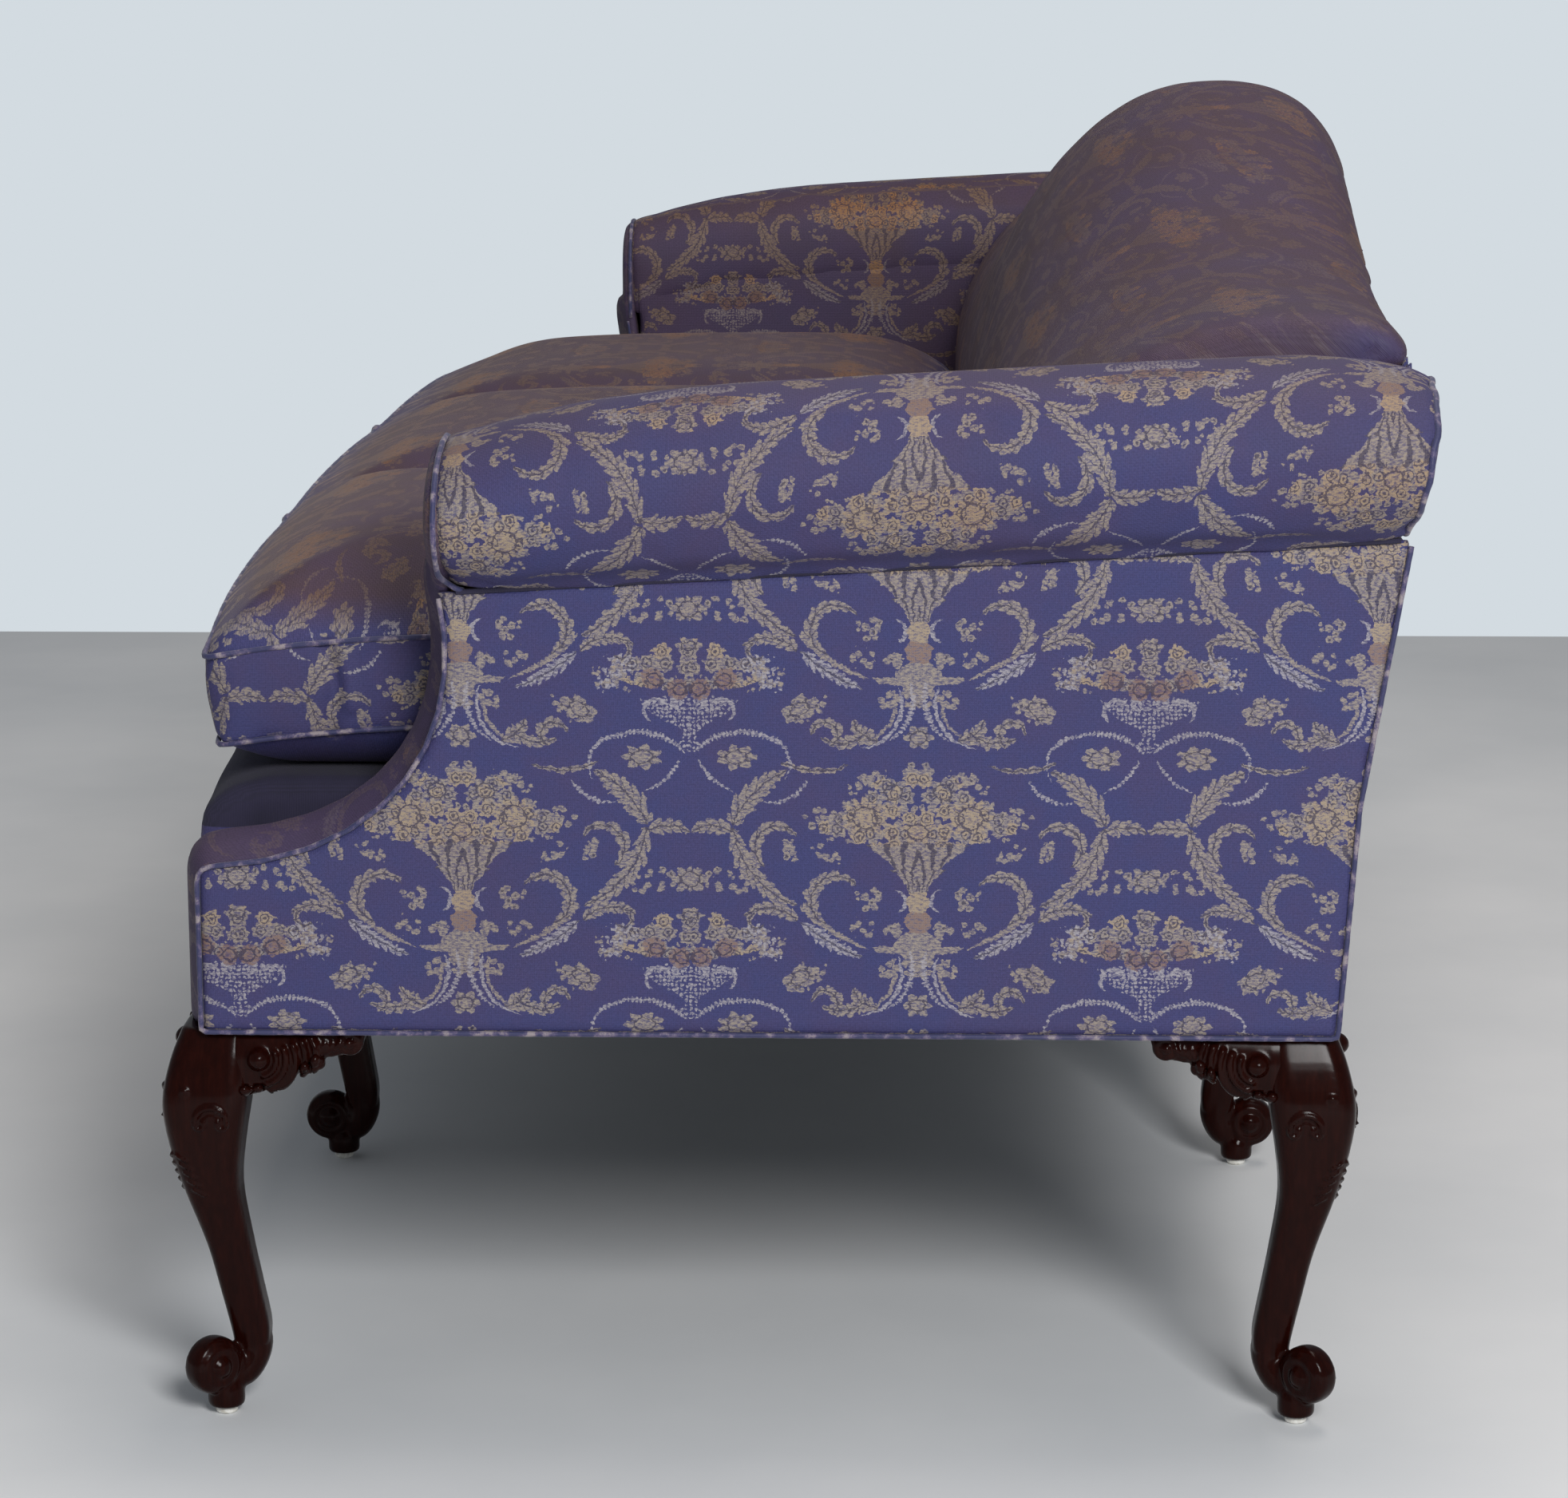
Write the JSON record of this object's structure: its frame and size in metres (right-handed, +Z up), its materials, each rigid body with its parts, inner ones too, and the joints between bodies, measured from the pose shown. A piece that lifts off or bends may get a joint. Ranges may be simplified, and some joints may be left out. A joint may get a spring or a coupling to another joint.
{
  "type": "camelback sofa with rolled arms and cabriole legs",
  "caption": "Camelback sofa with rolled arms, loose box cushions and a bowed front, on carved cabriole legs with scroll feet.",
  "frame": {"origin": "on the floor, under the middle of the whole sofa", "axes": "+X along the sofa towards the side seen in the picture, -Y to the front, +Z up"},
  "size_m": [1.967, 0.8704, 0.864],
  "materials": {
    "brocade": "woven brocade, violet-blue satin ground with champagne figures",
    "faded_brocade": "the same brocade, faded to mauve and gold",
    "cushion_brocade": "the same brocade on the loose cushions",
    "mahogany": "dark polished mahogany",
    "beech": "planed beech, inside the upholstery",
    "platform_cloth": "plain platform cloth",
    "jute": "jute webbing",
    "cambric": "black dust cover cloth",
    "nylon": "white nylon"
  },
  "bodies": {
    "frame": {"front_rail": "beech", "rear_rail": "beech", "side_rail_right": "beech", "side_rail_left": "beech", "arm_board_right": "beech", "arm_board_left": "beech", "back_post_right": "beech", "back_post_left": "beech", "back_top_rail": "beech", "seat_webbing": "jute", "seat_deck": "platform_cloth", "dust_cover": "cambric", "front_border": "brocade", "side_panel_right": "brocade", "side_panel_left": "brocade", "arm_inner_pad_right": "faded_brocade", "arm_inner_pad_left": "faded_brocade", "arm_roll_right": "brocade", "arm_roll_left": "brocade", "arm_facing_right": "faded_brocade", "arm_facing_left": "faded_brocade", "back_pad": "faded_brocade", "back_panel": "brocade", "front_left_leg": "mahogany", "front_left_leg_glide": "nylon", "front_left_leg_bracket_side": "mahogany", "front_left_leg_bracket_front": "mahogany", "front_inner_left_leg": "mahogany", "front_inner_left_leg_glide": "nylon", "front_inner_left_leg_bracket_left": "mahogany", "front_inner_left_leg_bracket_right": "mahogany", "front_inner_right_leg": "mahogany", "front_inner_right_leg_glide": "nylon", "front_inner_right_leg_bracket_left": "mahogany", "front_inner_right_leg_bracket_right": "mahogany", "front_right_leg": "mahogany", "front_right_leg_glide": "nylon", "front_right_leg_bracket_side": "mahogany", "front_right_leg_bracket_front": "mahogany", "rear_left_leg": "mahogany", "rear_left_leg_glide": "nylon", "rear_left_leg_bracket_side": "mahogany", "rear_left_leg_bracket_rear": "mahogany", "rear_inner_left_leg": "mahogany", "rear_inner_left_leg_glide": "nylon", "rear_inner_left_leg_bracket_left": "mahogany", "rear_inner_left_leg_bracket_right": "mahogany", "rear_inner_right_leg": "mahogany", "rear_inner_right_leg_glide": "nylon", "rear_inner_right_leg_bracket_left": "mahogany", "rear_inner_right_leg_bracket_right": "mahogany", "rear_right_leg": "mahogany", "rear_right_leg_glide": "nylon", "rear_right_leg_bracket_side": "mahogany", "rear_right_leg_bracket_rear": "mahogany", "cross_rail_right": "beech", "cross_rail_left": "beech"},
    "left_cushion": {"seat_cushion_left": "cushion_brocade"},
    "middle_cushion": {"seat_cushion_middle": "cushion_brocade"},
    "right_cushion": {"seat_cushion_right": "cushion_brocade"}
  },
  "joints": [
    {"name": "left_cushion_lift", "type": "slide", "parent": "frame", "child": "left_cushion", "axis": [0, 0, 1], "range_m": [0, 0.25]},
    {"name": "middle_cushion_lift", "type": "slide", "parent": "frame", "child": "middle_cushion", "axis": [0, 0, 1], "range_m": [0, 0.25]},
    {"name": "right_cushion_lift", "type": "slide", "parent": "frame", "child": "right_cushion", "axis": [0, 0, 1], "range_m": [0, 0.25]}
  ]
}
